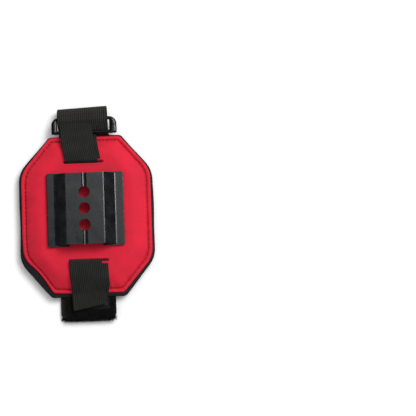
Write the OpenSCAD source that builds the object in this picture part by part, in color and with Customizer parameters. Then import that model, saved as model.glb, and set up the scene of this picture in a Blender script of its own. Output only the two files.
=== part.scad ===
// Strap-on limb cuff with a ballast plate and a moulded three-hole accessory bracket.
// X runs across the pad, Y along it towards the ring, Z up from the table it lies on.

/* [Pad] */
// Width of the front panel
pad_w = 99; // [90:1:120]
// Length of the front panel
pad_l = 120; // [110:1:140]
// Length of the short straight top and bottom edges
pad_end_w = 54; // [46:1:70]
// Length between the virtual side corners
pad_side_l = 67; // [56:1:76]
// Radius that rounds the four side corners
pad_side_r = 20; // [12:1:26]
// Radius that rounds the four end corners
pad_end_r = 4; // [2:0.5:8]
// How far the back panel shows beyond the front panel
back_margin = 1.75; // [1:0.25:2.5]
// How much lower the back panel is sewn on than the front panel
back_drop = 1; // [0:0.1:1.5]
// Thickness of the back panel
back_t = 1.2; // [0.8:0.1:2]
// Thickness of the front panel
front_t = 1.1; // [0.8:0.1:2]
// Height of the sewn rim of the front panel
rim_h = 1.5; // [1:0.1:2.5]
// How far the crown of the front panel is set in from its rim
crown_inset = 7; // [5:0.5:10]
// Width of the sewn seam allowance around the pocket
seam_w = 3; // [2:0.25:5]
// Foam under the ballast plate
foam_under = 2.5; // [2.2:0.1:5]
// Running gap between loose layers of cloth
layer_gap = 0.1; // [0.05:0.01:0.2]

/* [Ballast plate] */
// Thickness of the steel plate
plate_t = 4; // [3:0.25:8]
// Width of the steel plate
plate_w = 76; // [60:1:78]
// Length of the steel plate
plate_l = 92; // [66:1:96]
// Corner chamfer of the steel plate
plate_chamfer = 16; // [10:1:20]

/* [Slits] */
// Length of each slit across the front panel
slit_l = 32; // [30:0.5:34]
// Where the middle of the top slit lies across the pad
slit_top_x = -0.9; // [-2:0.1:0]
// Where the middle of the bottom slit lies across the pad
slit_bottom_x = 1.3; // [0:0.1:2]
// Width of each slit along the front panel
slit_w = 3.6; // [3.4:0.1:5]
// Distance of the top slit from the middle of the pad
slit_top_y = 39.7; // [38:0.1:42]
// Distance of the bottom slit from the middle of the pad
slit_bottom_y = 35.5; // [34:0.1:38]

/* [Narrow elastic] */
// Width of the elastic
elastic_w = 25; // [20:0.5:26]
// Thickness of the elastic
elastic_t = 1.2; // [0.9:0.1:1.3]
// Sideways lean of the elastic over the length of the pad, in degrees
elastic_lean = 3.1; // [1:0.1:3.3]
// Where the middle of the elastic crosses the middle of the pad
elastic_x = -1.5; // [-1.7:0.1:0]
// Where the sewn end of the ring loop lies on the front panel
loop_end_y = 44.5; // [43.5:0.1:48]
// How far the loop runs on past the ring bar, to the corner of its fold
loop_past_bar = 6.2; // [4:0.1:7]
// Where the folded end of the tab lies, from the middle of the pad
tab_end_y = 70.5; // [68:0.1:73]
// Length of the hook strip under the tab
tab_hook_l = 6.5; // [4:0.1:7]

/* [Ring] */
// Outer width of the ring
ring_w = 50; // [46:0.5:56]
// Distance between the middles of its two long bars
ring_pitch = 10.5; // [9.5:0.1:12]
// Diameter of the bars
bar_d = 2.7; // [2.2:0.1:3.2]
// Width of the two side legs
leg_w = 4.4; // [3.4:0.1:6]
// Outer radius of the two rounded corners
ring_corner_r = 6; // [4:0.25:8]
// Height of the bar axes above the table
ring_z = 9.45; // [9.2:0.05:10]
// Distance of the lower bar from the edge of the front panel
bar_gap = 3.4; // [3.2:0.1:4]
// Play between the elastic and the bar
bar_play = 0.15; // [0.1:0.01:0.3]

/* [Wide webbing] */
// Width of the webbing
web_w = 38; // [30:1:40]
// Thickness of the webbing
web_t = 1.3; // [1:0.1:1.5]
// How far the webbing runs on past the ring's far bar before it folds back
fold_run = 3; // [2.6:0.1:8]
// How far the lower turn reaches beyond the middle of the pad
reach_bottom = 79; // [76:0.25:86]
// Where the webbing is sewn under the pad, from the middle of the pad
sewn_end_y = 46; // [45:0.5:52]
// Where the loose tail ends beyond the middle of the pad
tail_end_y = 15; // [5:1:22]
// Width of the pile and hook patches
patch_w = 32; // [24:0.5:34]
// Thickness of the pile patch
pile_t = 1.2; // [0.8:0.1:1.4]
// Thickness of the hook patch
hook_t = 0.6; // [0.4:0.1:0.8]
// Length of the hook patch on the tail
hook_l = 50; // [30:1:60]

/* [Bracket] */
// Width of the bracket over its flanges
bracket_w = 58.4; // [54:0.2:62]
// Length of the bracket over its flanges
bracket_l = 56; // [50:0.5:60]
// Where the middle of the bracket lies, from the middle of the pad
bracket_y = 3.3; // [2:0.1:4]
// Width of the raised platform
platform_w = 29.6; // [28:0.2:32]
// Height of the platform above the front panel
platform_h = 11; // [10:0.1:13]
// Wall of the bracket
bracket_wall = 2.5; // [2:0.1:2.8]
// Width of each outer flange
flange_w = 6.5; // [5:0.1:8]
// Inner edge of each foot, from the middle
foot_inner_x = 13; // [12.5:0.1:13.2]
// How much shorter the platform is than the flanges at each end
platform_step = 1; // [0.5:0.1:2]
// Radius along the top edges of the platform
platform_r = 2; // [1:0.1:2.4]
// Radius of the hollow at the foot of each slope
fillet_r = 2.5; // [1:0.1:3]
// Plan radius of the bracket's corners
bracket_corner_r = 1.6; // [1:0.1:3]
// Diameter of the three accessory holes
hole_d = 8.6; // [8.2:0.1:9]
// Spacing of the three accessory holes
hole_pitch = 12.4; // [11:0.1:13]
// Width of the half-round groove at the platform's surface
groove_w = 3.9; // [3:0.1:4.4]
// Depth of the half-round groove
groove_depth = 1.5; // [1:0.1:1.6]

/* [Screws] */
// Distance of each screw from the middle line
screw_x = 17; // [16.6:0.1:17.6]
// Distance of each pair of screws from the middle of the bracket
screw_y = 19; // [15:0.5:22]
// Shank diameter of the screws
screw_d = 3; // [2.5:0.1:3.2]
// Head diameter of the screws
screw_head_d = 5.6; // [5:0.1:6]
// Head height of the screws
screw_head_h = 1.7; // [1.2:0.1:2]
// How deep the screws reach into the bracket
screw_grip = 5; // [3.5:0.1:5.5]
// Diameter of the bracket's screw bosses
boss_d = 6.4; // [6:0.1:7]
// Play of the screws in their clearance holes
screw_play = 0.1; // [0.05:0.01:0.2]
// Play of the thread in the bosses
thread_play = 0.02; // [0.01:0.01:0.05]

/* [Hidden] */
$fn = 48;
arc_steps = 8;
// Length and bend radius of the climb of the webbing from the lower turn to the back
climb_l = 18;
climb_r = 10;
// Space between the pile's end and the pad
pile_clear = 0.5;
// How far the pile runs on past the hook patch
pile_spare = 6;
// Space inside the folded ends of the elastic
fold_space = 0.3;
// Space inside the lower turn of the webbing
turn_space = 1.5;
// How far inside the ring bar the webbing starts to rise
riser_lead = 5;
// Where the loose tab starts beyond the bottom slit, and how much further its under layer runs back
tab_lead = 4.5;
tab_under_run = 2;
// Bend radii of the elastic at the slits and over the rim of the crown
slit_bend_r = 1;
crown_bend_r = 2;
// Inset of the hook patches from the ends and edges they are sewn to
hook_inset = 1;
// Play of the elastic in the trough of the foam
trough_play = 0.3;
// Depth of the screw bores beyond the tips of the screws
bore_spare = 0.3;
// Radius along the outer edges of the flanges
flange_edge_r = 0.6;
// Thin slabs that the crowned bodies are hulled from
slab_t = 0.2;
// How far a cut runs on past the face it opens
cut = 1;
// Keeps the last point of an arc off the point that follows it
arc_share = 0.98;

// Levels of the folded stack, from the table up
tail_mid = web_t / 2;
span_mid = web_t + hook_t + layer_gap + pile_t + web_t / 2;
turn_low_mid = pile_t + web_t / 2;
turn_r = (web_t + turn_space) / 2;
turn_high_mid = turn_low_mid + 2 * turn_r;
pad_z = turn_high_mid + web_t / 2;
plate_z = pad_z + back_t + foam_under;
elastic_z = plate_z + plate_t;
panel_under = elastic_z + elastic_t + layer_gap;
panel_top = panel_under + front_t;
rim_top = pad_z + back_t + rim_h;

// The crown's slope and the layers that lie on it
tab_start_y = -(slit_bottom_y + tab_lead);
slope = atan((panel_top - rim_top) / crown_inset);
crown_l = pad_l / 2 - crown_inset;
under_lift = layer_gap + elastic_t / 2;
upper_lift = under_lift + elastic_t + layer_gap / 2;

// The ring and the folds of the webbing round it
bar_r = bar_d / 2;
over_bar_r = bar_r + layer_gap + web_t / 2;
fold_top = ring_z + over_bar_r;
fold_r = (fold_top - tail_mid) / 2;
fold_z = tail_mid + fold_r;
bar_y = pad_l / 2 + bar_gap;
far_bar_y = bar_y + ring_pitch;
fold_y = far_bar_y + fold_run;
reach_top = fold_y + fold_r + web_t / 2;
loop_r = bar_r + bar_play + elastic_t / 2;
riser_r = loop_r + elastic_t / 2 + layer_gap + web_t / 2;
rise = asin((riser_r + over_bar_r) / ring_pitch);
turn_y = -(reach_bottom - turn_r - web_t / 2 - pile_t);
riser_start_y = bar_y - riser_lead;

// The origin lies under the middle of the folded cuff, a little off the middle of the pad
mid_y = (reach_top - reach_bottom) / 2;

// The bracket's sloped walls
slope_foot_x = bracket_w / 2 - flange_w;
wall_slope = atan((platform_h - bracket_wall) / (slope_foot_x - platform_w / 2));
wall_run = bracket_wall / sin(wall_slope);
cavity_top_x = platform_w / 2 + bracket_wall / tan(wall_slope) - wall_run;
cavity_foot_x = slope_foot_x - wall_run;
groove_r = (pow(groove_w / 2, 2) + pow(groove_depth, 2)) / (2 * groove_depth);

function unit(v) = v / norm(v);
function heading(a) = [cos(a), sin(a)];

// Points of an arc of radius r that rounds corner b between its neighbours a and c
function corner(a, b, c, r) =
    let (u = unit(a - b), v = unit(c - b), half = acos(u * v) / 2)
    let (middle = b + unit(u + v) * r / sin(half), side = cross(u, v) > 0 ? -1 : 1)
    let (spoke = b + u * r / tan(half) - middle, sweep = side * (180 - 2 * half))
    [for (i = [0:arc_steps])
        let (t = sweep * i / arc_steps)
        middle + [spoke.x * cos(t) - spoke.y * sin(t), spoke.x * sin(t) + spoke.y * cos(t)]];

// A closed outline, or an open path with plain ends, whose corners have the radii given
function rounded(points, radii, closed = true) =
    let (n = len(points))
    [for (i = [0:n - 1])
        let (inner = closed || (i > 0 && i < n - 1))
        each inner && radii[i] > 0
            ? corner(points[(i + n - 1) % n], points[i], points[(i + 1) % n], radii[i])
            : [points[i]]];

// Corner of two tangents of a circle, for a path that turns round it from one heading to another
function wrap(centre, r, from, to) =
    centre + heading((from + to) / 2 + (to > from ? -90 : 90)) * r / cos((to - from) / 2);

// Points inside a half turn to the left that starts at an angle, without its two ends
function half_turn(centre, r, from) =
    [for (i = [1:2 * arc_steps - 1]) centre + r * heading(from + 90 * i / arc_steps)];

// Side direction of a path at one of its points, stretched at bends so that the width stays
function side_of(path, i) =
    let (before = unit(path[max(i, 1)] - path[max(i, 1) - 1]))
    let (after = unit(path[min(i + 1, len(path) - 1)] - path[min(i, len(path) - 2)]))
    let (middle = unit(before + after))
    [-middle.y, middle.x] / (middle * after);

// Closed outline of a strip that runs along a path, between two offsets from it
function strip(path, low, high) =
    concat([for (i = [0:len(path) - 1]) path[i] + side_of(path, i) * low],
           [for (i = [len(path) - 1:-1:0]) path[i] + side_of(path, i) * high]);

// Extrudes an outline drawn in Y and Z across X
module across(w) {
    rotate([90, 0, 90]) linear_extrude(w, center = true) children();
}

// Leans the narrow elastic sideways, so that its folds stay square to the ring's bars
module leaning() {
    multmatrix([[1, -tan(elastic_lean), 0, elastic_x], [0, 1, 0, 0], [0, 0, 1, 0], [0, 0, 0, 1]]) children();
}

// Eight-sided outline of the pad, grown or shrunk by a margin
module pad_outline(grow) {
    diagonal = atan2(pad_l - pad_side_l, pad_w - pad_end_w);
    side_y = pad_side_l / 2 + grow * tan((90 - diagonal) / 2);
    end_x = pad_end_w / 2 + grow * tan(diagonal / 2);
    w = pad_w / 2 + grow;
    l = pad_l / 2 + grow;
    polygon(rounded([[w, -side_y], [w, side_y], [end_x, l], [-end_x, l],
                     [-w, side_y], [-w, -side_y], [-end_x, -l], [end_x, -l]],
                    [for (i = [0:7]) floor((i + 2) / 2) % 2 == 1 ? pad_side_r : pad_end_r]));
}

// Crowned body between a wide outline below and a narrower one above
module crowned(low, low_grow, low_h, high, high_grow) {
    hull() {
        translate([0, 0, low]) linear_extrude(low_h) pad_outline(low_grow);
        translate([0, 0, high - slab_t]) linear_extrude(slab_t) pad_outline(high_grow);
    }
}

// The four screw places, from the middle of the bracket
module at_bosses() {
    for (x = [-screw_x, screw_x])
        for (y = [-screw_y, screw_y])
            translate([x, y, 0]) children();
}

// The four screw places, from the middle of the pad
module at_screws() {
    translate([0, bracket_y, 0]) at_bosses() children();
}

// Flat black panel against the limb
module back_panel() {
    color([0.13, 0.13, 0.14])
        translate([0, -back_drop, pad_z]) linear_extrude(back_t) pad_outline(back_margin);
}

// Foam sleeve round the plate, with a trough where the elastic passes
module foam_core() {
    low = pad_z + back_t;
    trough_w = elastic_w + 2 * trough_play;
    color([0.75, 0.75, 0.72]) difference() {
        crowned(low, -seam_w - layer_gap, slab_t, panel_under, -crown_inset - layer_gap);
        plate_block(layer_gap / 2);
        leaning() translate([-trough_w / 2, -pad_l / 2, elastic_z])
            cube([trough_w, pad_l, elastic_t + layer_gap + cut]);
        at_screws() {
            cylinder(h = panel_top, d = screw_d + 2 * screw_play);
            cylinder(h = plate_z, d = screw_head_d + 2 * screw_play);
        }
    }
}

// Eight-sided block of the plate, grown by some play
module plate_block(play) {
    w = plate_w / 2 + play;
    l = plate_l / 2 + play;
    c = plate_chamfer;
    translate([0, 0, plate_z]) linear_extrude(plate_t)
        polygon([[w, c - l], [w, l - c], [w - c, l], [c - w, l],
                 [-w, l - c], [-w, c - l], [c - w, -l], [w - c, -l]]);
}

// Steel plate that gives the cuff its weight and clamps the bracket
module ballast_plate() {
    color([0.62, 0.63, 0.65]) difference() {
        plate_block(0);
        at_screws() cylinder(h = panel_top, d = screw_d + 2 * screw_play);
    }
}

// Red crowned cover with a slit above and below the bracket
module front_panel() {
    low = pad_z + back_t;
    color([0.84, 0.13, 0.23]) difference() {
        crowned(low, 0, rim_h, panel_top, -crown_inset);
        crowned(low - slab_t, -seam_w, 2 * slab_t, panel_under, -crown_inset);
        for (middle = [[slit_top_x, slit_top_y], [slit_bottom_x, -slit_bottom_y]])
            translate([middle.x, middle.y, panel_top]) cube([slit_l, slit_w, 4 * front_t], center = true);
        at_screws() cylinder(h = panel_top + cut, d = screw_d + 2 * screw_play);
    }
}

// Moulded bracket: flanges, sloped walls and a platform over an open channel
module bracket() {
    half_w = bracket_w / 2;
    half_l = bracket_l / 2;
    section = [[half_w, 0], [half_w, bracket_wall],
               [slope_foot_x, bracket_wall], [platform_w / 2, platform_h],
               [-platform_w / 2, platform_h], [-slope_foot_x, bracket_wall],
               [-half_w, bracket_wall], [-half_w, 0]];
    radii = [0, flange_edge_r, fillet_r, platform_r, platform_r, fillet_r, flange_edge_r, 0];
    color([0.16, 0.165, 0.175]) translate([0, bracket_y, panel_top]) difference() {
        intersection() {
            rotate([90, 0, 0]) linear_extrude(bracket_l, center = true) polygon(rounded(section, radii));
            bracket_plan(half_w, half_l);
        }
        difference() {
            rotate([90, 0, 0]) linear_extrude(bracket_l + 2 * cut, center = true) channel_section();
            at_bosses() cylinder(h = platform_h, d = boss_d);
        }
        for (end = [-1, 1])
            translate([0, end * half_l, bracket_wall + platform_h / 2])
                cube([2 * (slope_foot_x + cut), 2 * platform_step, platform_h], center = true);
        at_bosses() translate([0, 0, -cut])
            cylinder(h = cut + screw_grip + bore_spare, d = screw_d + 2 * thread_play);
        for (i = [-1:1])
            translate([0, i * hole_pitch, platform_h / 2]) cylinder(h = platform_h, d = hole_d);
        for (end = [-1, 1])
            translate([0, end * (hole_pitch + half_l / 2), platform_h + groove_r - groove_depth])
                rotate([90, 0, 0]) cylinder(h = half_l, r = groove_r, center = true);
    }
}

// Open channel under the platform, between the inward feet
module channel_section() {
    ceiling = platform_h - bracket_wall;
    polygon([[foot_inner_x, -cut], [foot_inner_x, bracket_wall],
             [cavity_foot_x, bracket_wall], [cavity_top_x, ceiling],
             [-cavity_top_x, ceiling], [-cavity_foot_x, bracket_wall],
             [-foot_inner_x, bracket_wall], [-foot_inner_x, -cut]]);
}

// Plan of the bracket with its rounded corners
module bracket_plan(half_w, half_l) {
    r = bracket_corner_r;
    linear_extrude(platform_h + cut) {
        square([2 * half_w - 2 * r, 2 * half_l], center = true);
        square([2 * half_w, 2 * half_l - 2 * r], center = true);
        for (x = [-1, 1])
            for (y = [-1, 1])
                translate([x * (half_w - r), y * (half_l - r)]) circle(r);
    }
}

// Four pan-head screws that come from under the plate and bite in the bracket
module bracket_screws() {
    head_z = plate_z - screw_head_h;
    color([0.7, 0.7, 0.72]) at_screws() translate([0, 0, head_z]) {
        cylinder(h = screw_head_h, d = screw_head_d);
        cylinder(h = panel_top + screw_grip - head_z, d = screw_d);
    }
}

// Path of the elastic from the bottom slit under the front panel, out of the top slit, over and
// round the ring's bar, and back to its sewn end
function elastic_path() =
    let (hidden = elastic_z + elastic_t / 2 + layer_gap / 2, upper = panel_top + upper_lift)
    let (climb = upper - hidden, panel_mid = panel_top - front_t / 2)
    let (top_foot = slit_top_y - (panel_mid - hidden), bottom_foot = -slit_bottom_y + (panel_mid - hidden))
    let (edge = [crown_l + upper_lift * tan(slope / 2), upper])
    let (tangent = [bar_y, ring_z] + loop_r * heading(rise - 90))
    let (loop_tip = tangent + loop_past_bar * heading(rise))
    let (lift_off = [crown_l + under_lift * tan(slope / 2), panel_top + under_lift])
    let (chord = [bar_y, ring_z] - lift_off, reach = norm(chord))
    let (back = atan2(-chord.y, -chord.x) - asin(loop_r / reach))
    rounded([[tab_start_y + layer_gap, upper], [bottom_foot - climb, upper], [bottom_foot, hidden],
             [top_foot, hidden], [top_foot + climb, upper], edge, loop_tip,
             wrap([bar_y, ring_z], loop_r, rise + 180, back), lift_off, [loop_end_y, lift_off.y]],
            [0, slit_bend_r, slit_bend_r, slit_bend_r, slit_bend_r, crown_bend_r,
             (elastic_t + fold_space) / 2, loop_r, slit_bend_r, 0], false);

// Elastic that ties the ring to the pad
module elastic_strap() {
    color([0.2, 0.2, 0.2]) leaning() across(elastic_w)
        polygon(strip(elastic_path(), -elastic_t / 2, elastic_t / 2));
}

// Doubled end of the elastic, which presses on the pile of the webbing
function tab_path() =
    let (rest = pad_z + pile_t + layer_gap + hook_t + elastic_t / 2)
    let (pitch = elastic_t + fold_space, fold = pitch / 2)
    let (upper = panel_top + upper_lift, under = panel_top + under_lift)
    let (upper_edge = crown_l + upper_lift * tan(slope / 2))
    let (under_edge = crown_l + under_lift * tan(slope / 2))
    let (upper_foot = upper_edge + (upper - rest - pitch) / tan(slope))
    let (under_foot = under_edge + (under - rest) / tan(slope), tip = tab_end_y - elastic_t / 2 - fold)
    concat(rounded([[tab_start_y, upper], [-upper_edge, upper], [-upper_foot, rest + pitch],
                    [-tip, rest + pitch]], [0, crown_bend_r, slit_bend_r, 0], false),
           half_turn([-tip, rest + fold], fold, 90),
           rounded([[-tip, rest], [-under_foot, rest], [-under_edge, under],
                    [tab_start_y - tab_under_run, under]], [0, crown_bend_r, slit_bend_r, 0], false));

module elastic_tab() {
    color([0.2, 0.2, 0.2]) leaning() across(elastic_w)
        polygon(strip(tab_path(), -elastic_t / 2, elastic_t / 2));
}

// Hook strip under the end of the tab
module tab_hook() {
    low = pad_z + pile_t + layer_gap;
    w = elastic_w - 2 * hook_inset;
    color([0.1, 0.1, 0.1]) leaning() translate([-w / 2, hook_inset - tab_end_y, low])
        cube([w, tab_hook_l, hook_t]);
}

// Moulded rectangular ring with round bars
module ring() {
    turn_r = ring_corner_r - bar_r;
    half_w = ring_w / 2 - bar_r;
    color([0.09, 0.09, 0.1]) translate([0, bar_y, ring_z]) {
        rotate([0, 90, 0]) cylinder(h = 2 * half_w, d = bar_d, center = true);
        translate([0, ring_pitch, 0]) rotate([0, 90, 0])
            cylinder(h = 2 * (half_w - turn_r), d = bar_d, center = true);
        for (side = [0, 1]) mirror([side, 0, 0]) {
            translate([half_w, 0, 0]) sphere(d = bar_d);
            translate([half_w, 0, 0]) rotate([-90, 0, 0]) cylinder(h = ring_pitch - turn_r, d = bar_d);
            translate([half_w - leg_w + bar_d, 0, 0]) rotate([-90, 0, 0]) cylinder(h = ring_pitch, d = bar_d);
            translate([half_w - leg_w + bar_d, 0, -bar_r]) cube([leg_w - bar_d, ring_pitch - turn_r, bar_d]);
            translate([half_w - turn_r, ring_pitch - turn_r, 0]) rotate_extrude(angle = 90)
                translate([turn_r, 0]) circle(d = bar_d);
        }
    }
}

// Path of the webbing from its sewn end under the pad, round the lower turn and along the back
function span_path(start_y, end_y) =
    concat([[start_y, turn_high_mid], [turn_y, turn_high_mid]],
           half_turn([turn_y, (turn_high_mid + turn_low_mid) / 2], turn_r, 90),
           rounded([[turn_y, turn_low_mid], [-sewn_end_y, turn_low_mid], [climb_l - sewn_end_y, span_mid],
                    [end_y, span_mid]], [0, climb_r, climb_r, 0], false));

// Webbing that goes round the limb
module wrap_strap() {
    color([0.22, 0.22, 0.21]) across(web_w)
        polygon(strip(span_path(-sewn_end_y, riser_start_y), -web_t / 2, web_t / 2));
}

// Pile on the outer face of the webbing, from beside the pad round the lower turn to the back
module pile_patch() {
    start_y = -(pad_l / 2 + back_margin + back_drop + pile_clear);
    end_y = hook_l - tail_end_y + pile_spare;
    color([0.09, 0.09, 0.1]) across(patch_w)
        polygon(strip(span_path(start_y, end_y), -web_t / 2 - pile_t, -web_t / 2));
}

// Webbing that rises through the ring and lies on its far bar
module strap_riser() {
    path = rounded([[riser_start_y, span_mid],
                    [bar_y + riser_r * tan(rise / 2) - (ring_z - riser_r - span_mid) / tan(rise), span_mid],
                    wrap([far_bar_y, ring_z], over_bar_r, rise, 0), [fold_y, fold_top]],
                   [0, riser_r, over_bar_r * arc_share, 0], false);
    color([0.22, 0.22, 0.21]) across(web_w) polygon(strip(path, -web_t / 2, web_t / 2));
}

// Bend of the webbing beyond the ring, down to the table
module strap_fold() {
    color([0.22, 0.22, 0.21]) translate([0, fold_y, fold_z]) across(web_w) intersection() {
        difference() {
            circle(fold_r + web_t / 2);
            circle(fold_r - web_t / 2);
        }
        translate([0, -2 * fold_r]) square(4 * fold_r);
    }
}

// Loose tail that lies folded back under the cuff
module strap_tail() {
    color([0.22, 0.22, 0.21]) translate([-web_w / 2, -tail_end_y, 0])
        cube([web_w, fold_y + tail_end_y, web_t]);
}

// Hook patch on the tail, which grips the pile
module tail_hook() {
    color([0.1, 0.1, 0.1]) translate([-patch_w / 2, hook_inset - tail_end_y, web_t])
        cube([patch_w, hook_l, hook_t]);
}

// Moves the pad frame to the row frame
module placed() {
    translate([0, -mid_y, 0]) children();
}

placed() back_panel();
placed() foam_core();
placed() ballast_plate();
placed() front_panel();
placed() bracket();
placed() bracket_screws();
placed() elastic_strap();
placed() elastic_tab();
placed() tab_hook();
placed() ring();
placed() wrap_strap();
placed() pile_patch();
placed() strap_riser();
placed() strap_fold();
placed() strap_tail();
placed() tail_hook();
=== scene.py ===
"""Looks of a strap-on limb cuff: a red padded pad with a moulded bracket, elastic, a ring and webbing."""
import math
import bpy
import numpy as np
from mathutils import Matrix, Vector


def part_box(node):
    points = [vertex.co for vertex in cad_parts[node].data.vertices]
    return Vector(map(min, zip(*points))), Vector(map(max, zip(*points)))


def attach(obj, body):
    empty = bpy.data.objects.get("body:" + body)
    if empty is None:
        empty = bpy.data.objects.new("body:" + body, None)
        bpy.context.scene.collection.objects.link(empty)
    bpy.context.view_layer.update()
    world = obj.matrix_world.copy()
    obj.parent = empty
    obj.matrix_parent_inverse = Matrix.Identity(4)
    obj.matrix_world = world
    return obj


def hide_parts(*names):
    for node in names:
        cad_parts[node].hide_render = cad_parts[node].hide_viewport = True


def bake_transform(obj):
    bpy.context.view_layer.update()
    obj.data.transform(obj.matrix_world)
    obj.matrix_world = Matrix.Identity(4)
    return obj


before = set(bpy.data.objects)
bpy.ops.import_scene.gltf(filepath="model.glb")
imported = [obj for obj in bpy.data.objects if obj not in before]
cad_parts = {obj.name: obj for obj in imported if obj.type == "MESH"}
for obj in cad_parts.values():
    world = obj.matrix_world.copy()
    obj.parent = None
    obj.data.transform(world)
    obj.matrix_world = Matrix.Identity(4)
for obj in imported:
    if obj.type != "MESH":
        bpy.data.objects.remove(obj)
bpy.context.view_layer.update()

# ---------------------------------------------------------------- Camera
# The photo looks down on the cuff from about 1.2 m, a few degrees from the tab's side, and the
# cuff lies left of the picture's middle, turned a little anticlockwise.
TILT = math.radians(6.0)
ROLL = math.radians(-2.11)
DISTANCE = 1.24
TARGET = np.array([0.09273, -0.0005, 0.010])

camera = bpy.data.objects.new("camera", bpy.data.cameras.new("camera"))
bpy.context.scene.collection.objects.link(camera)
camera.data.lens = 140.9
camera.data.sensor_width = 36.0
camera.rotation_mode = "ZYX"
camera.rotation_euler = (TILT, 0.0, ROLL)
camera.location = TARGET + DISTANCE * np.array([0.0, -math.sin(TILT), math.cos(TILT)])
bpy.context.scene.camera = camera
bpy.context.scene.view_settings.view_transform = "Standard"

# ---------------------------------------------------------------- Room
# White paper under a large, nearly shadowless light. Gloss sees a darker room than cloth does,
# which keeps the sloped walls of the black plastic dark, as in the photo.
MM = 0.001
KEY = {"place": (0.62, 0.52, 1.05), "side": 0.6, "watts": 11.5}
OVERHEAD = {"place": (0.27, 0.35, 1.70), "side": 0.8, "watts": 3.8}
GLINT = {"place": (0.95, 0.25, 1.0), "side": 0.22, "watts": 5.0, "for_cloth": False}
ROOM_LIGHT = 0.56
ROOM_GLOSS = 0.05
PAPER_HALF = 1500.0
PAPER_Z = -0.3
PAPER_WHITE = 0.97


def softbox(name, place, side, watts, for_cloth=True):
    """Square area light at a place, turned towards the cuff. If not for cloth, it shows in gloss only."""
    lamp = bpy.data.objects.new(name, bpy.data.lights.new(name, "AREA"))
    bpy.context.scene.collection.objects.link(lamp)
    lamp.data.size = side
    lamp.data.energy = watts
    lamp.visible_diffuse = for_cloth
    lamp.location = place
    lamp.rotation_euler = (-lamp.location).to_track_quat("-Z", "Y").to_euler()


def feed(tree, socket, value):
    """Set a socket to a value, or link it where the value is another node's output."""
    if isinstance(value, bpy.types.NodeSocket):
        tree.links.new(value, socket)
    else:
        socket.default_value = value


def node(tree, kind, **inputs):
    """Output of a new shader node whose inputs are given by name, with _ for a space."""
    made = tree.nodes.new("ShaderNode" + kind)
    for name, value in inputs.items():
        feed(tree, made.inputs[name.replace("_", " ")], value)
    return made.outputs[0]


def calculated(tree, operation, *values):
    """Output of a math node on values or sockets."""
    made = tree.nodes.new("ShaderNodeMath")
    made.operation = operation
    for socket, value in zip(made.inputs, values):
        feed(tree, socket, value)
    return made.outputs[0]


def meshed(name, points, faces, shader):
    """New mesh object from points in millimetres."""
    mesh = bpy.data.meshes.new(name)
    mesh.from_pydata((np.array(points) * MM).tolist(), [], faces)
    mesh.materials.append(shader)
    made = bpy.data.objects.new(name, mesh)
    bpy.context.scene.collection.objects.link(made)
    return made


softbox("key", **KEY)
softbox("overhead", **OVERHEAD)
softbox("glint", **GLINT)
world = bpy.data.worlds.new("room")
bpy.context.scene.world = world
world.use_nodes = True
tree = world.node_tree
background = tree.nodes["Background"].inputs
ray = tree.nodes.new("ShaderNodeLightPath").outputs
strength = node(tree, "MapRange", Value=ray["Is Glossy Ray"], To_Min=ROOM_LIGHT, To_Max=ROOM_GLOSS)
background["Color"].default_value = (1.0, 1.0, 1.0, 1.0)
feed(tree, background["Strength"], calculated(tree, "MAXIMUM", strength, ray["Is Camera Ray"]))

paper = bpy.data.materials.new("paper")
paper.use_nodes = True
tree = paper.node_tree
ray = tree.nodes.new("ShaderNodeLightPath").outputs
tone = node(tree, "MapRange", Value=ray["Is Glossy Ray"], To_Min=PAPER_WHITE, To_Max=ROOM_GLOSS)
paper_inputs = tree.nodes["Principled BSDF"].inputs
feed(tree, paper_inputs["Base Color"], tone)
paper_inputs["Roughness"].default_value = 0.9
paper_inputs["Specular IOR Level"].default_value = 0.0
corners = [(x * PAPER_HALF, y * PAPER_HALF, PAPER_Z) for x, y in ((-1, -1), (1, -1), (1, 1), (-1, 1))]
paper_sheet = meshed("paper", corners, [(0, 1, 2, 3)], paper)

# ---------------------------------------------------------------- Red cover
# Knit cloth on thin foam, stitched round its rim to the back panel, so that it swells from the
# stitches to a flat crown. Two slits let the elastic out.
PAD_END_W = 54.0
PAD_SIDE_L = 67.0
PAD_SIDE_R = 20.0
PAD_END_R = 4.0
RIM_W = 1.2
RIM_H = 1.95
STITCH_INSET = 3.2
STITCHES = 118
STITCH_PULL = 1.25  # how deep the row of stitches lies in the cover
SWELL = 12.5  # how far in from the stitches the crown is reached
PUCKERS = ((7, 0.14, 0.3), (23, 0.14, 0.1), (37, 0.12, 0.6), (61, 0.10, 0.35), (89, 0.07, 0.8))
CUT_AT = (-38, -44)  # where the cover was cut too short, from the middle of the pad
CUT_SHARE = 0.05
SLITS = ((-0.9, 39.7), (1.3, -35.5))  # middle of each slit, from the middle of the pad
SLIT_L = 31.0
SLIT_DEPTH = 2.2
SLIT_LIP = 0.25
COVER_POINTS = 600
UNDERSIDE = [12.0, 6.0, 2.0, 0.5]  # insets of the rows on the cover's flat underside
RED = (0.60, 0.014, 0.036)


def box_mm(name):
    """Lowest and highest corner of a CAD node in millimetres."""
    return np.array(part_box(name)) / MM


def ramp(value, start, end):
    """0 up to the start, 1 from the end on, and straight between them: (value - start) / (end - start)."""
    return np.clip((value - start) / (end - start), 0, 1)


def stations(path):
    """Length along a path at each of its points."""
    return np.concatenate([[0], np.cumsum(np.linalg.norm(np.diff(path, axis=0), axis=1))])


def spaced(path, places):
    """Points of a path at the given lengths along it."""
    return np.stack([np.interp(places, stations(path), column) for column in path.T], 1)


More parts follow.
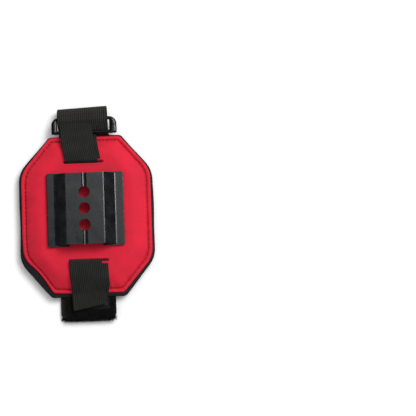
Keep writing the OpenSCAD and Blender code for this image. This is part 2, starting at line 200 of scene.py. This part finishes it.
def route(points, radii, step):
    """Path through corner points whose corners are arcs tangent to both sides, in equal steps.
    The arc from spoke a to spoke b with turn w is (sin((1 - t) w) a + sin(t w) b) / sin(w)."""
    points = np.array(points, float)
    parts = [points[:1]]
    t = np.linspace(0, 1, 13)[:, None]
    for before, here, after, radius in zip(points, points[1:], points[2:], radii):
        u = (before - here) / np.linalg.norm(before - here)
        v = (after - here) / np.linalg.norm(after - here)
        half = math.acos(np.clip(u @ v, -1, 1)) / 2
        middle = here + (u + v) / np.linalg.norm(u + v) * radius / math.sin(half)
        a = here + u * radius / math.tan(half) - middle
        b = here + v * radius / math.tan(half) - middle
        turn = math.pi - 2 * half
        parts.append(middle + (np.sin((1 - t) * turn) * a + np.sin(t * turn) * b) / math.sin(turn))
    path = np.concatenate(parts + [points[-1:]])
    length = stations(path)[-1]
    return spaced(path, np.linspace(0, length, max(2, round(length / step)) + 1))


def resampled(path, count):
    """The same closed path with a count of equally spaced points, its end left off."""
    return spaced(path, np.linspace(0, stations(path)[-1], count, endpoint=False))


def pad_outline(inset, count):
    """Points round the eight-sided pad, moved in by an inset, from the middle of its right side.
    The sides move in by the inset and each corner slides on the line that halves it."""
    low, high = box_mm("front_panel")
    w, l = (high - low)[:2] / 2 - inset
    diagonal = math.atan2((high - low)[1] - PAD_SIDE_L, (high - low)[0] - PAD_END_W)
    side = PAD_SIDE_L / 2 - inset * math.tan((math.pi / 2 - diagonal) / 2)
    end = PAD_END_W / 2 - inset * math.tan(diagonal / 2)
    upper_half = [(w, 0), (w, side), (end, l), (-end, l), (-w, side)]
    lower_half = [(-w, -side), (-end, -l), (end, -l), (w, -side), (w, 0)]
    radii = [PAD_SIDE_R, PAD_END_R, PAD_END_R, PAD_SIDE_R] * 2
    return resampled(route(upper_half + lower_half, radii, 0.5), count)


def cut_in(outline, inset):
    """The cover's outline, which was cut a little short at the tab's left: the points there move
    inwards by a share that falls off as exp(-(turn off / spread)^2) and towards the crown."""
    turn = np.arctan2(outline[..., 1], outline[..., 0])
    off = (turn - math.atan2(CUT_AT[1], CUT_AT[0])) / 0.28
    return outline * (1 - CUT_SHARE * np.exp(-off ** 2) * ramp(inset, 14, 0))[..., None]


def swell(inset, turn):
    """Height of the cover over its sewn edge, in millimetres, at an inset and a turn round it from 0
    to 1. A rolled rim, a row of stitches that pulls it in, and a quarter sine up to the crown."""
    low, high = box_mm("front_panel")
    rim = RIM_H * np.sqrt(1 - (1 - ramp(inset, 0, RIM_W)) ** 2)
    crown = high[2] - low[2] - RIM_H
    rise = crown * np.sin(np.pi / 2 * ramp(inset, STITCH_INSET, STITCH_INSET + SWELL))
    stitch = np.cos(2 * np.pi * turn * STITCHES)
    pull = STITCH_PULL * np.exp(-((inset - STITCH_INSET) / 0.65) ** 2) * (1 + 0.3 * stitch)
    pucker = sum(size * np.sin(2 * np.pi * (waves * turn + phase)) for waves, size, phase in PUCKERS)
    return rim + rise - pull + pucker * ramp(inset, 0, 1.5) * np.exp(-((inset - 2.5) / 5) ** 2)


def surface(name, grid, across, along, shader):
    """Closed smooth mesh on a grid of points in millimetres, rows by columns, each row a ring and the
    first and last row capped. across and along are the cloth's own coordinates in millimetres."""
    rows, cols = grid.shape[:2]
    index = np.arange(rows * cols).reshape(rows, cols)
    right = np.roll(index, -1, 1)
    quads = np.stack([index[:-1], right[:-1], right[1:], index[1:]], -1).reshape(-1, 4)
    points = grid.reshape(-1, 3)
    a, b, c, d = (points[quads[:, k]] for k in range(4))
    outward = np.einsum("ij,ij->", np.cross(c - a, d - b), (a + b + c + d) / 4 - points.mean(0))
    if outward < 0:
        quads = quads[:, ::-1]
        caps = [index[0].tolist(), index[-1, ::-1].tolist()]
    else:
        caps = [index[0, ::-1].tolist(), index[-1].tolist()]
    made = meshed(name, points, quads.tolist() + caps, shader)
    made.data.polygons.foreach_set("use_smooth", [True] * len(quads) + [False] * 2)
    for key, values in (("across", across), ("along", along)):
        flat = np.broadcast_to(values, (rows, cols)).ravel().astype(np.float32)
        made.data.attributes.new(key, "FLOAT", "POINT").data.foreach_set("value", flat)
    return made


def new_shader(name):
    """A new material, its node tree and the inputs of its surface."""
    made = bpy.data.materials.new(name)
    made.use_nodes = True
    return made, made.node_tree, made.node_tree.nodes["Principled BSDF"].inputs


def noise(tree, size_mm, detail):
    """Noise in object space whose patches are about a size across."""
    place = tree.nodes.new("ShaderNodeTexCoord").outputs["Object"]
    return node(tree, "TexNoise", Vector=place, Scale=1 / (size_mm * MM), Detail=detail)


def drift(tree, patches, middle, spread):
    """A number that goes from middle - spread to middle + spread with the patches of a noise."""
    ends = {"To_Min": middle - spread, "To_Max": middle + spread}
    return node(tree, "MapRange", Value=patches, From_Min=0.3, From_Max=0.7, **ends)


def toned(tree, color, tone):
    """A colour made lighter or darker by a tone."""
    made = tree.nodes.new("ShaderNodeVectorMath")
    made.operation = "SCALE"
    made.inputs[0].default_value = color
    feed(tree, made.inputs["Scale"], tone)
    return made.outputs[0]


def mottled(name, color, rough, patch_mm, grain_mm, relief, mottle=0.2, rough_spread=0.1,
            sheen=0.0, metal=0.0, shine=0.5):
    """Surface whose colour and roughness drift over patches, with a fine grain as relief."""
    made, tree, inputs = new_shader(name)
    patches = noise(tree, patch_mm, 3.0)
    grain = noise(tree, grain_mm, 2.0)
    bump = node(tree, "Bump", Height=grain, Distance=relief * MM, Strength=1.0)
    feed(tree, inputs["Base Color"], toned(tree, color, drift(tree, patches, 1, mottle)))
    feed(tree, inputs["Roughness"], drift(tree, patches, rough, rough_spread))
    feed(tree, inputs["Normal"], bump)
    inputs["Metallic"].default_value = metal
    inputs["Sheen Weight"].default_value = sheen
    inputs["Specular IOR Level"].default_value = shine
    return made


pad_low, pad_high = box_mm("front_panel")
pad_mid = (pad_low + pad_high) / 2
turns = np.arange(COVER_POINTS) / COVER_POINTS
# The rows are the pad's outline at growing insets, first along the flat underside and then over the
# rim and the swell, and the last ones close the crown towards its middle.
insets = np.concatenate([UNDERSIDE, np.linspace(0, RIM_W, 8), np.arange(RIM_W + 0.2, 30, 0.35)])
under = np.arange(len(insets)) < len(UNDERSIDE)
rings = np.array([cut_in(pad_outline(inset, COVER_POINTS), inset) for inset in insets])
heights = np.where(under[:, None], 0.0, swell(insets[:, None], turns[None, :]))
closing = np.linspace(1, 0.03, 20)[1:]
rings = np.concatenate([rings, closing[:, None, None] * rings[-1]])
heights = np.concatenate([heights, np.repeat(heights[-1:], len(closing), 0)])
on_crown = heights > 5
# Each slit sinks the crown by a flattened bell, exp(-(off / width)^4), between two low lips.
for x, y in SLITS:
    beside = ramp(np.abs(rings[..., 0] - x), SLIT_L / 2, SLIT_L / 2 - 1.5)
    off = np.abs(rings[..., 1] - y)
    cut = SLIT_DEPTH * np.exp(-(off / 0.9) ** 4) - SLIT_LIP * np.exp(-((off - 1.6) / 0.7) ** 2)
    heights -= on_crown * beside * cut
grid = np.dstack([rings[..., 0], rings[..., 1] + pad_mid[1], heights + pad_low[2]])
red_cloth = mottled("red_cloth", RED, 0.75, 14.0, 0.45, 0.10, mottle=0.09, sheen=0.02, shine=0.12)
cover = surface("cover", grid, grid[..., 0], grid[..., 1], red_cloth)
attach(cover, "pad")
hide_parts("front_panel", "foam_core")

# ---------------------------------------------------------------- Rim stitches
# Black sewing thread. One row of lock stitches joins the cover to the back panel, and pulls the
# cover in where it runs.
THREAD_R = 0.48
THREAD_PROUD = 0.2
THREAD_DIP = 0.15
THREAD_ENDS = np.array([0.5, 1, 1, 1, 1, 0.5])  # thickness along a stitch
THREAD_SIDES = 6


def tubes(name, points, shader):
    """Closed smooth tubes in one mesh, from an array of points by tube, ring and spoke."""
    index = np.arange(points.size // 3).reshape(points.shape[:3])
    right = np.roll(index, -1, 2)
    quads = np.stack([index[:, :-1], right[:, :-1], right[:, 1:], index[:, 1:]], -1).reshape(-1, 4)
    caps = np.concatenate([index[:, 0, ::-1], index[:, -1]])
    made = meshed(name, points.reshape(-1, 3), quads.tolist() + caps.tolist(), shader)
    made.data.shade_smooth()
    return made


def spokes(way, side, count):
    """Unit vectors square to each way, evenly turned from its side: cos(w) side + sin(w) way x side."""
    turn = (np.arange(count) * 2 * np.pi / count)[None, None, :, None]
    return np.cos(turn) * side[:, None, None] + np.sin(turn) * np.cross(way, side)[:, None, None]


def unit(vectors):
    """Vectors, one a row, all made one long."""
    return vectors / np.linalg.norm(vectors, axis=1)[:, None]


def threads(name, starts, ends, radius, sag, shader):
    """Short stitches from start to end that dip by sag at both ends:
    point(t, w) = start + t (end - start) + sag (4 t (1 - t) - 1) up + radius thickness(t) spoke(w)."""
    up = np.array([0, 0, 1.0])
    t = np.linspace(0, 1, len(THREAD_ENDS))[None, :, None, None]
    middle = starts[:, None, None] + t * (ends - starts)[:, None, None] + sag * (4 * t * (1 - t) - 1) * up
    run = unit(ends - starts)
    around = spokes(run, unit(np.cross(run, up)), THREAD_SIDES)
    return tubes(name, middle + radius * THREAD_ENDS[:, None, None] * around, shader)


black_thread = mottled("black_thread", (0.006, 0.003, 0.003), 0.6, 3.0, 0.3, 0.05)
quarters = np.arange(STITCHES * 4) / (STITCHES * 4)
row = cut_in(pad_outline(STITCH_INSET, len(quarters)), STITCH_INSET)
row_z = pad_low[2] + swell(STITCH_INSET, quarters) + THREAD_PROUD
row = np.column_stack([row[:, 0], row[:, 1] + pad_mid[1], row_z])
starts = row[1::4]
ends = row[3::4] + (row[3::4] - row[2::4]) * 0.7  # a stitch fills 2.7 quarters of its pitch
rim_stitches = threads("rim_stitches", starts, ends, THREAD_R, THREAD_DIP, black_thread)
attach(rim_stitches, "pad")

# ---------------------------------------------------------------- Painted slit shade
# Painted shade: black thread laid along the cut edges of both slits, which darkens them where
# only the slits' own shadow is. It lies below the slits' lips.
SLIT_SHADE_R = 0.55
SLIT_SHADE_PITCH = 1.5
SLIT_SHADE_L = 1.9
SLIT_SHADE_DEPTH = 1.3
SLIT_SHADE_DIP = 0.1

places = np.arange(1 - SLIT_L / 2, SLIT_L / 2 - 1, SLIT_SHADE_PITCH)
slit_shade_z = pad_high[2] - SLIT_SHADE_DEPTH
starts = np.array([(x + place, y + pad_mid[1], slit_shade_z) for x, y in SLITS for place in places])
ends = starts + [SLIT_SHADE_L, 0, 0]
# painted shade: these black threads under the lips stand in for the shadow inside the slits
painted_slit_shade = threads("painted_slit_shade", starts, ends, SLIT_SHADE_R, SLIT_SHADE_DIP, black_thread)
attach(painted_slit_shade, "pad")

# ---------------------------------------------------------------- Back panel
# Smooth black cloth that lies against the limb. It is cut a little larger than the cover and sewn
# to it round the rim, and its raw edge is soft and slightly wavy.
BACK_POINTS = 400
BACK_EDGE = [(30, 0), (6, 0), (0.8, 0.02), (0.25, 0.2), (0, 0.5), (0.2, 0.85), (0.7, 0.98), (6, 1), (30, 1)]

black_cloth = mottled("black_cloth", (0.008, 0.008, 0.010), 0.65, 8.0, 0.4, 0.06, sheen=0.02, shine=0.2)
low, high = box_mm("back_panel")
margin = (high[0] - low[0] - (pad_high[0] - pad_low[0])) / 2
inset, share = np.array(BACK_EDGE).T  # inset from the panel's edge, and share of its thickness
rings = np.array([pad_outline(step - margin, BACK_POINTS) for step in inset])
turn = 2 * np.pi * np.arange(BACK_POINTS) / BACK_POINTS
wave = 0.0035 * np.sin(5 * turn + 0.4 * np.pi) + 0.0025 * np.sin(11 * turn)
rings *= 1 + wave[None, :, None] * ramp(inset, 6, 0)[:, None, None]
level = low[2] + (share * (high[2] - low[2]))[:, None] * np.ones(BACK_POINTS)
grid = np.dstack([rings[..., 0], rings[..., 1] + (low[1] + high[1]) / 2, level])
back = surface("back", grid, grid[..., 0], grid[..., 1], black_cloth)
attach(back, "pad")
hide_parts("back_panel")

# ---------------------------------------------------------------- Bracket, plate and screws
# Injection-moulded bracket in gloss black plastic with flow marks. Four screws hold it to a
# zinc-plated steel plate in the pad, with the cover clamped between them.
def painted(shader, *names):
    """Gives CAD nodes a material."""
    for name in names:
        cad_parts[name].data.materials.clear()
        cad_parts[name].data.materials.append(shader)


plastic = mottled("plastic", (0.008, 0.009, 0.011), 0.24, 8.0, 9.0, 0.06, mottle=0.45, rough_spread=0.09)
steel = mottled("steel", (0.5, 0.5, 0.52), 0.38, 5.0, 0.3, 0.01, mottle=0.08, metal=1.0)
painted(plastic, "bracket")
painted(steel, "ballast_plate", "bracket_screws")

# ---------------------------------------------------------------- Ring
# Moulded ring in polished black plastic that joins the elastic to the webbing. It has two round
# bars and broad side legs, and its far corners are well rounded.
RING_LEGS = (4.4, 5.6)  # width of the left and the right leg
RING_RADII = [6.0, 6.0, 1.2, 1.2]
RING_POINTS = 260

ring_plastic = mottled("ring_plastic", (0.005, 0.005, 0.006), 0.24, 6.0, 3.0, 0.03, rough_spread=0.06,
                       shine=0.3)
ring_low, ring_high = box_mm("ring")
bar_r = (ring_high[2] - ring_low[2]) / 2
bar_z = (ring_high[2] + ring_low[2]) / 2
w = ring_high[0]
side = (w, (ring_low[1] + ring_high[1]) / 2)
corners = [side, (w, ring_high[1]), (-w, ring_high[1]), (-w, ring_low[1]), (w, ring_low[1]), side]
outer = resampled(route(corners, RING_RADII, 0.2), RING_POINTS)
hole_low = [RING_LEGS[0] - w, ring_low[1] + 2 * bar_r]
hole_high = [w - RING_LEGS[1], ring_high[1] - 2 * bar_r]
inner = np.clip(outer, hole_low, hole_high)
# Each section is an ellipse between the outer and the inner outline:
# point(w) = (outer + inner) / 2 + cos(w) (outer - inner) / 2, with the height bar_r sin(w).
angle = np.linspace(0, 2 * np.pi, 20, endpoint=False)
section = (outer + inner)[:, None] / 2 + np.cos(angle)[:, None] * (outer - inner)[:, None] / 2
height = bar_z + bar_r * np.sin(angle) * np.ones((RING_POINTS, 1))
loop = np.dstack([section, height])
ring = surface("ring_loop", np.concatenate([loop, loop[:1]]), 0.0, 0.0, ring_plastic)
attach(ring, "ring")
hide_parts("ring")

# ---------------------------------------------------------------- Elastic to the ring
# Ribbed woven elastic that is held under the cover. It comes out of the top slit, lies on the
# cover, goes round the ring's lower bar and back under itself to a cut end.
ELASTIC = {"width": 25.0, "thick": 1.2, "rib": 1.4, "groove": 0.14}
ELASTIC_X = -1.5
ELASTIC_LEAN = math.tan(math.radians(3.1))
BAR_TURN_R = 2.1
CLEAR_UNDER = 0.7  # from the crown to the middle of the strap's lower layer
CLEAR_UPPER = 1.95  # and of its upper layer
OFF_CROWN_Y = 46.0  # where the elastic leaves the flat of the cover


def tape(name, path, width, thick, rib, groove, shader, sideways=0.0, slant=0.0, edge=0.5):
    """Woven tape along a path of (y, z): point(s, a) = path(s) + a across +- h(a) normal(s), with
    h(a) = (thick / 2 - groove sin(pi a / rib)^2) sqrt(1 - e^2), where e grows from 0 to 1 over the
    edge. sideways moves the path in x, and slant turns the tape in its plane: y += slant a."""
    a = np.linspace(-width / 2, width / 2, int(width / rib) * 6 + 1)
    e = ramp(np.abs(a), width / 2 - edge, width / 2)
    h = (thick / 2 - groove * np.sin(np.pi * a / rib) ** 2) * np.sqrt(1 - e ** 2)
    across = np.concatenate([a, a[-2:0:-1]])
    height = np.concatenate([h, -h[-2:0:-1]])
    tangent = unit(np.gradient(path, axis=0))
    sideways = np.broadcast_to(sideways, len(path))[:, None]
    slant = np.broadcast_to(slant, len(path))[:, None]
    grid = np.dstack([sideways + across[None, :],
                      path[:, :1] - tangent[:, 1:] * height + slant * across,
                      path[:, 1:] + tangent[:, :1] * height])
    return surface(name, grid, across[None, :], stations(path)[:, None], shader)


def wave_of(tree, key, pitch_mm):
    """Cosine along one of a tape's own coordinates, one wave to a pitch."""
    source = tree.nodes.new("ShaderNodeAttribute")
    source.attribute_name = key
    turned = calculated(tree, "MULTIPLY", source.outputs["Fac"], 2 * math.pi / pitch_mm)
    return calculated(tree, "COSINE", turned)


def woven(name, color, rib_mm, pick_mm, relief):
    """Cloth whose threads show as fine waves: cos across the ribs times cos along the picks. The ribs
    are painted lighter and the grooves between them darker, a painted highlight and painted shade."""
    made, tree, inputs = new_shader(name)
    ribs = wave_of(tree, "across", rib_mm)
    weave = calculated(tree, "MULTIPLY", ribs, wave_of(tree, "along", pick_mm))
    height = calculated(tree, "ADD", weave, noise(tree, 0.6, 2.0))
    bump = node(tree, "Bump", Height=height, Distance=relief * MM, Strength=1.0)
    # painted highlight on the ribs and painted shade in the grooves: colour goes from 0.3 to 1.9 times across
    # each rib
    tone = node(tree, "MapRange", Value=ribs, From_Min=-1.0, From_Max=1.0, To_Min=0.3, To_Max=1.9)
    tone = calculated(tree, "MULTIPLY", tone, drift(tree, noise(tree, 9, 2.0), 1, 0.15))
    feed(tree, inputs["Base Color"], toned(tree, color, tone))
    feed(tree, inputs["Normal"], bump)
    inputs["Roughness"].default_value = 0.72
    inputs["Sheen Weight"].default_value = 0.04
    inputs["Specular IOR Level"].default_value = 0.18
    return made


def leaned(y):
    """Sideways place of the elastic's middle at a place along the pad."""
    return ELASTIC_X - ELASTIC_LEAN * (y - pad_mid[1])


def out_of_slit(y, way):
    """First corners of an elastic that rises out of a slit and goes one way along the pad, 1 or -1."""
    return [(y - 6 * way, pad_high[2] - SLIT_DEPTH), (y - way, pad_high[2] - 1.6), (y + 1.2 * way, upper)]


elastic = woven("elastic", (0.013, 0.013, 0.012), ELASTIC["rib"], 0.9, 0.14)
bar_y = ring_low[1] + bar_r
upper = pad_high[2] + CLEAR_UPPER
lower = pad_high[2] + CLEAR_UNDER
slit_y = SLITS[0][1] + pad_mid[1]
to_bar = [(OFF_CROWN_Y, upper), (bar_y, bar_z + BAR_TURN_R + 0.25)]
past_bar = [(bar_y + 6.6, bar_z + 1.1), (bar_y + 6.9, bar_z - 0.5), (bar_y + 5.5, bar_z - 0.6)]
under_bar = [(bar_y + 0.5, bar_z - BAR_TURN_R - 0.1), (bar_y - 1.5, bar_z - BAR_TURN_R + 0.1)]
to_cut_end = [(OFF_CROWN_Y, lower), (slit_y + 2.4, lower)]
path = route(out_of_slit(slit_y, 1) + to_bar + past_bar + under_bar + to_cut_end,
             [1.0, 1.0, 9.0, 4.0, 0.8, 0.5, 0.6, 0.8, 0.8, 6.0], 0.6)
y = path[:, 0]
returning = np.arange(len(path)) > np.argmax(y)
sideways = leaned(y) + 1.4 * ramp(y, 54, 38) - 1.8 * ramp(y, 40, 80)  # it leans more than the tab does
sideways += returning * 2.4 * ramp(y, 69, 65)  # the lower layer lies a little to the right
ring_elastic = tape("ring_elastic", path, **ELASTIC, shader=elastic, sideways=sideways)
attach(ring_elastic, "pad")
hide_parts("elastic_strap")

# ---------------------------------------------------------------- Elastic tab
# The elastic's other end, which comes out of the bottom slit and is folded back under itself at a
# slant, with the hook strip beneath.
TAB_SLANT = 0.19
TAB_X = -1.7  # how far left of the elastic's line the upper layer lies
TAB_RETURN_X = 4.4  # how far right of the upper layer the lower one lies
TAB_GAP = 1.5

tab_low = box_mm("elastic_tab")[0]
rest = tab_low[2] + ELASTIC["thick"] / 2
tip = tab_low[1]
slit_y = SLITS[1][1] + pad_mid[1]
to_tip = [(-49.5, upper - 0.3), (-61.5, rest + TAB_GAP + 0.5), (tip, rest + TAB_GAP)]
to_cut_end = [(tip, rest), (-62.5, rest), (-51, lower), (slit_y - 2.6, lower)]
path = route(out_of_slit(slit_y, -1) + to_tip + to_cut_end,
             [1.0, 1.0, 9.0, 3.0, TAB_GAP / 2, TAB_GAP / 2, 3.0, 4.0], 0.6)
y = path[:, 0]
returning = np.arange(len(path)) > np.argmin(y)
sideways = leaned(y) + TAB_X + returning * TAB_RETURN_X * ramp(y, -72, -56)
slant = TAB_SLANT * ramp(y, -52, tip)
tab = tape("tab", path, **ELASTIC, shader=elastic, sideways=sideways, slant=slant)
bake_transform(tab)
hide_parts("elastic_tab")

# ---------------------------------------------------------------- Webbing round the limb
# Ribbed woven webbing, sewn under the pad at both ends of its run. Beyond the tab it turns back on
# itself.
WEBBING = {"width": 38.0, "thick": 1.3, "rib": 1.6, "groove": 0.16}
WRAP_TURN_R = 1.4
LOWER_X = -2.9
UPPER_X = 1.4
HALF_WEB = WEBBING["thick"] / 2
TURN_FROM_Y = -48.0  # where the turn's two layers part from the pad
SPAN_FROM_Y = -30.0  # where the webbing reaches the level of its run under the pad


def strayed(path):
    """Sideways place of the turn beyond the tab, which goes from the lower layer's to the upper one's."""
    across = LOWER_X + (UPPER_X - LOWER_X) * ramp(path[:, 1], low_z, high_z)
    return ramp(path[:, 0], TURN_FROM_Y - 2, TURN_FROM_Y - 12) * across


webbing = woven("webbing", (0.017, 0.0165, 0.015), WEBBING["rib"], 1.2, 0.18)
wrap_low, wrap_high = box_mm("wrap_strap")
high_z = wrap_high[2] - HALF_WEB
low_z = high_z - 2 * WRAP_TURN_R
span_z = box_mm("strap_riser")[0][2] + HALF_WEB
turn_y = wrap_low[1] + HALF_WEB
to_turn = [(TURN_FROM_Y, high_z), (turn_y, high_z)]
from_turn = [(turn_y, low_z), (TURN_FROM_Y, low_z), (SPAN_FROM_Y, span_z), (wrap_high[1], span_z)]
path = route(to_turn + from_turn, [WRAP_TURN_R, WRAP_TURN_R, 10.0, 10.0], 0.7)
wrap = tape("wrap", path, **WEBBING, shader=webbing, sideways=strayed(path))
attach(wrap, "pad")
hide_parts("wrap_strap")

# ---------------------------------------------------------------- Pile
# Brushed loop pile, sewn on the webbing's outer face for the hooks to grip. Its fibres fray past
# its edges at the turn.
PILE = {"width": 36.0, "thick": 1.2, "rib": 1.6, "groove": 0.15}
FIBRES = 9000
FIBRE_TRIES = 20000  # places drawn, of which those that the tab covers are left out
FIBRE_R = 0.11
FIBRE_L = (0.8, 2.4)
FRINGE = 0.9  # how much longer the fibres at the turn are
PILE_END_Y = -65.3  # the pile's end on the turn's upper layer

pile_high = box_mm("pile_patch")[1]
proud = HALF_WEB + PILE["thick"] / 2
outer_r = (high_z - low_z) / 2 + proud
under_pad = [(pile_high[1], span_z), (SPAN_FROM_Y, span_z), (TURN_FROM_Y, low_z), (turn_y - proud, low_z)]
on_top = [(turn_y - proud, high_z + proud), (PILE_END_Y, high_z + proud)]
under_pad = (np.array(under_pad) - [0, proud]).tolist()
pile_path = route(under_pad + on_top, [10.0, 10.0, outer_r, outer_r], 0.7)
pile_cloth = mottled("pile_cloth", (0.008, 0.008, 0.009), 0.9, 2.0, 0.5, 0.4, mottle=0.5, shine=0.2)
pile = tape("pile", pile_path, **PILE, shader=pile_cloth, sideways=strayed(pile_path), edge=0.9)
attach(pile, "pad")
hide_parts("pile_patch")


def fibres(name, roots, ways, lengths, radius, shader):
    """Three-sided hairs that narrow to their tips and stay clear of the paper:
    point(t, w) = root + length (t way - 0.35 t^2 up) + radius (1 - 0.7 t) spoke(w)."""
    t = np.linspace(0, 1, 4)[None, :, None, None]
    ways = unit(ways)
    droop = 0.35 * t ** 2 * np.array([0, 0, 1.0])
    middle = roots[:, None, None] + lengths[:, None, None, None] * (t * ways[:, None, None] - droop)
    side = unit(np.cross(ways, np.random.default_rng(7).normal(size=ways.shape)))
    points = middle + radius * (1 - 0.7 * t) * spokes(ways, side, 3)
    points[..., 2] = np.maximum(points[..., 2], 0.02)
    return tubes(name, points, shader)


dice = np.random.default_rng(3)
shown = pile_path[(pile_path[:, 0] < -64) & (pile_path[:, 1] > 1.0)]
run = unit(np.gradient(shown, axis=0))
pick = dice.integers(0, len(shown), FIBRE_TRIES)
a = dice.uniform(-PILE["width"] / 2, PILE["width"] / 2, FIBRE_TRIES)
bare = (shown[pick, 0] < -74) | (np.abs(a - leaned(-70)) > ELASTIC["width"] / 2)
pick = pick[bare][:FIBRES]
a = a[bare][:FIBRES]
splay = 0.8 * (np.abs(a) > PILE["width"] / 2 - 1.5) * np.sign(a)
outward = np.column_stack([splay, -run[pick, 1], run[pick, 0]])
roots = np.column_stack([a + strayed(shown)[pick], shown[pick]])
roots += outward * np.array([0, 1, 1]) * (PILE["thick"] / 2 - 0.2)
ways = outward + dice.normal(0, 0.45, outward.shape)
lengths = dice.uniform(*FIBRE_L, len(pick)) + FRINGE * (roots[:, 1] < -79)
fuzz = fibres("pile_fuzz", roots, ways, lengths, FIBRE_R, pile_cloth)
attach(fuzz, "pad")

# ---------------------------------------------------------------- Webbing over the ring
# The same webbing, which climbs through the ring and lies on its far bar, a little askew.
FOLD_SHIFT = -1.4
FOLD_SLANT = 0.045

fold_low, fold_high = box_mm("strap_fold")
fold_y = fold_low[1]
top_z = fold_high[2] - HALF_WEB
far_y = ring_high[1] - bar_r
path = route([(wrap_high[1], span_z), (60.0, span_z), (far_y - 1.0, top_z), (fold_y, top_z)], [2.2, 2.4], 0.6)
y = path[:, 0]
shift = FOLD_SHIFT * ramp(y, wrap_high[1], wrap_high[1] + 12)
slant = FOLD_SLANT * ramp(y, 66, 75)
riser = tape("riser", path, **WEBBING, shader=webbing, sideways=shift, slant=slant)
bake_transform(riser)
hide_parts("strap_riser")

# ---------------------------------------------------------------- Fold and tail
# The webbing's loose end, which turns back beyond the ring and lies under the cuff, where the hook
# tape sewn on it grips the pile.
bottom_z = HALF_WEB
fold_r = (top_z - bottom_z) / 2
tail_end = box_mm("strap_tail")[0][1]
path = route([(fold_y, top_z), (fold_y + fold_r, top_z), (fold_y + fold_r, bottom_z), (tail_end, bottom_z)],
             [fold_r - 0.02, fold_r - 0.02], 0.6)
loose = ramp(path[:, 0], 20, 75)  # the tail lies straight beyond the pad's middle
tail = tape("tail", path, **WEBBING, shader=webbing, sideways=FOLD_SHIFT * loose, slant=FOLD_SLANT * loose)
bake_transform(tail)
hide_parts("strap_fold", "strap_tail")

# ---------------------------------------------------------------- Hook tapes
# Hook tape in moulded black nylon, sewn under the tab and on the webbing's tail, which it holds to
# the pile.
hook_tape = mottled("hook_tape", (0.012, 0.012, 0.013), 0.45, 3.0, 0.6, 0.4, mottle=0.3)
painted(hook_tape, "tab_hook", "tail_hook")
